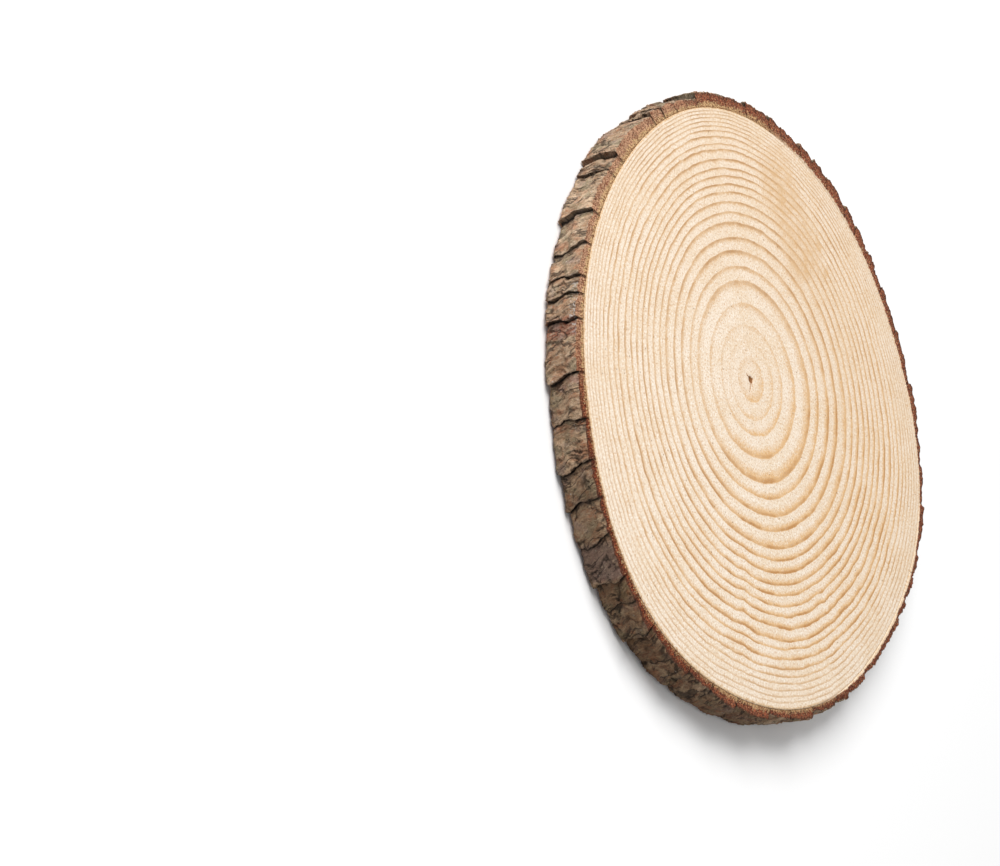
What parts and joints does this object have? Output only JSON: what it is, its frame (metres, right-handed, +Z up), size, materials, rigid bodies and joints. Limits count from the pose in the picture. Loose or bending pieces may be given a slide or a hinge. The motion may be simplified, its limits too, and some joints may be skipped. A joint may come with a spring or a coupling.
{
  "type": "wood slice",
  "caption": "Round slice sawn from a conifer trunk, with two flat end-grain faces, an off-centre pith and a rim of rough, cracked bark.",
  "frame": {"origin": "middle of the wood's underside, the centre of the mean circle through the wood's outline", "axes": "+Z up through the thickness and out of the upper sawn face; +X and +Y lie in the sawn face, with the pith a little towards -X and +Y and the thickest bark towards +Y"},
  "size_m": [0.2821, 0.2818, 0.018],
  "materials": {
    "wood": "sawn and sanded softwood end grain, matt, with cream earlywood and amber latewood rings",
    "bark": "rough grey-brown conifer bark with reddish-brown sawn edges, matt"
  },
  "bodies": {
    "root": {"wood": "wood", "bark": "bark"}
  },
  "joints": []
}
